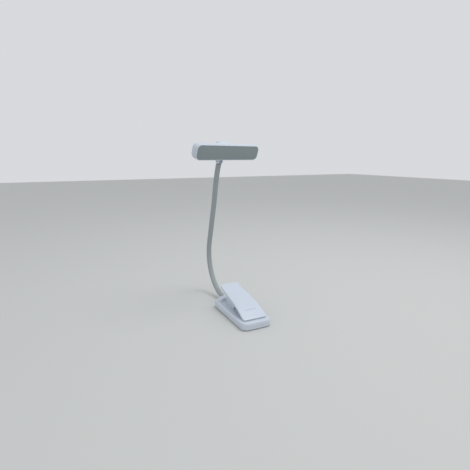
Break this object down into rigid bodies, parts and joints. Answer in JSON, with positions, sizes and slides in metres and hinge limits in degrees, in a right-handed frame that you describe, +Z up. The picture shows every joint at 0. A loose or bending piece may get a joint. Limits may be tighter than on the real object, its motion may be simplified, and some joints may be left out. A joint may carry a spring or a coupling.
{
  "type": "clip-on reading lamp",
  "caption": "Cordless LED bar lamp on a flexible neck that rises from the back of a sprung clip base.",
  "frame": {"origin": "centre of the base's underside, on the plane of its foot pads", "axes": "+Z up; the clip's jaw opens towards -Y and the neck leaves the base towards +Y; +X is the base's right side seen from behind the jaw"},
  "size_m": [0.1, 0.1514, 0.2183],
  "materials": {
    "white_shell": "satin pale blue-white moulded ABS",
    "neck_sleeve": "satin pale grey silicone sleeve",
    "diffuser": "matte frosted translucent grey",
    "rubber": "matte dark grey",
    "steel": "bright zinc-plated",
    "circuit_board": "green solder mask",
    "battery": "silver laminate pouch"
  },
  "bodies": {
    "base": {"base_upper_shell": "white_shell", "base_lower_shell": "white_shell", "torsion_spring": "steel", "neck_gland": "white_shell", "neck_sleeve_0": "neck_sleeve", "base_screw_1": "steel", "base_screw_2": "steel", "base_screw_3": "steel", "base_screw_4": "steel", "foot_pad": "rubber", "neck_core_0": "steel", "pivot_pin": "steel", "charge_board": "circuit_board", "charge_port": "steel", "charge_light_pipe": "diffuser", "battery_cell": "battery", "lower_jaw_pad": "rubber"},
    "lever": {"lever_shell": "white_shell", "upper_jaw_pad": "rubber", "spring_lever_leg": "steel"},
    "neck_1": {"neck_sleeve_1": "neck_sleeve", "neck_core_1": "steel"},
    "neck_2": {"neck_sleeve_2": "neck_sleeve", "neck_core_2": "steel"},
    "neck_3": {"neck_sleeve_3": "neck_sleeve", "neck_core_3": "steel"},
    "neck_4": {"neck_sleeve_4": "neck_sleeve", "neck_core_4": "steel"},
    "neck_5": {"neck_sleeve_5": "neck_sleeve", "neck_core_5": "steel"},
    "knuckle": {"knuckle": "neck_sleeve"},
    "head": {"head_back_shell": "white_shell", "head_bezel": "white_shell", "diffuser": "diffuser", "led_board": "circuit_board", "board_screw_left": "steel", "board_screw_right": "steel", "switch_board": "circuit_board", "tilt_screw": "steel", "friction_washer_left": "steel", "friction_washer_right": "steel"},
    "button": {"power_button": "white_shell", "switch_plunger": "rubber"}
  },
  "joints": [
    {"name": "lever_hinge", "type": "hinge", "parent": "base", "child": "lever", "pos_m": [0, 0.012, 0.0142], "axis": [-1, 0, 0], "range_deg": [0, 22], "stiffness_Nm_per_rad": 0.6, "springref_deg": -20.05},
    {"name": "neck_bend_1", "type": "hinge", "parent": "base", "child": "neck_1", "pos_m": [0, 0.055, 0.00624], "axis": [1, 0, 0], "range_deg": [-15, 15]},
    {"name": "neck_bend_2", "type": "hinge", "parent": "neck_1", "child": "neck_2", "pos_m": [0, 0.09259, 0.02449], "axis": [0, -0.7613, 0.6483], "range_deg": [-35, 35]},
    {"name": "neck_bend_3", "type": "hinge", "parent": "neck_2", "child": "neck_3", "pos_m": [0, 0.10467, 0.06451], "axis": [1, 0, 0], "range_deg": [-40, 25]},
    {"name": "neck_bend_4", "type": "hinge", "parent": "neck_3", "child": "neck_4", "pos_m": [0, 0.09289, 0.1058], "axis": [0, -0.9535, -0.3013], "range_deg": [-40, 40]},
    {"name": "neck_bend_5", "type": "hinge", "parent": "neck_4", "child": "neck_5", "pos_m": [-0.00037, 0.07993, 0.1468], "axis": [1, 0, 0], "range_deg": [-35, 30]},
    {"name": "head_swivel", "type": "hinge", "parent": "neck_5", "child": "knuckle", "pos_m": [-0.0003, 0.06763, 0.18574], "axis": [0.0721, -0.3005, 0.9511], "range_deg": [-120, 120]},
    {"name": "head_tilt", "type": "hinge", "parent": "knuckle", "child": "head", "pos_m": [0.00025, 0.06534, 0.19297], "axis": [0.9724, 0.2334, 0], "range_deg": [-50, 45]},
    {"name": "power_button_press", "type": "slide", "parent": "head", "child": "button", "axis": [0.222, -0.9248, -0.309], "range_m": [0, 0.0007], "stiffness_N_per_m": 800}
  ]
}
